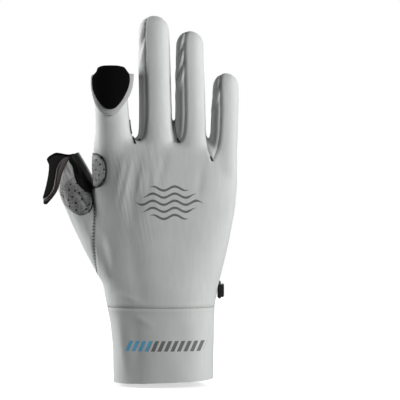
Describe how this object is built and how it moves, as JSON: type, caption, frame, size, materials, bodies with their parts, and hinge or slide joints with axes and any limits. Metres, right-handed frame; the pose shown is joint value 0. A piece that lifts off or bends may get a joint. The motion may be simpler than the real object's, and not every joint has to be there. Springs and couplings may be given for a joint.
{
  "type": "fishing glove",
  "caption": "Right-hand sun glove in thin grey knit with a long plain cuff, a perforated palm, a pull tab, and index and thumb caps folded back from open tips.",
  "frame": {"origin": "centre of the wrist opening at the cuff's hem", "axes": "+Z from the wrist opening to the fingertips, +X to the little finger, -Y to the back of the hand"},
  "size_m": [0.132, 0.0466, 0.2404],
  "materials": {
    "knit": "smooth thin stretch knit, light cool grey",
    "perforated": "suede-like microfibre with small holes, mid grey",
    "lining": "black brushed lining",
    "stretch": "black glossy stretch fabric",
    "webbing": "black woven webbing",
    "tab": "grey soft plastic plate"
  },
  "bodies": {
    "root": {"cuff": "knit", "back_panel": "knit", "thumb_panel": "knit", "gusset_index_middle": "knit", "gusset_middle_ring": "knit", "gusset_ring_little": "knit", "palm_panel": "perforated", "heel_panel": "perforated", "index_patch": "perforated", "thumb_patch": "perforated", "thumb_stretch_panel": "stretch", "index_cap": "knit", "index_cap_lining": "lining", "thumb_cap": "knit", "thumb_cap_lining": "lining", "pull_strap": "webbing", "pull_tab": "tab"}
  },
  "joints": []
}
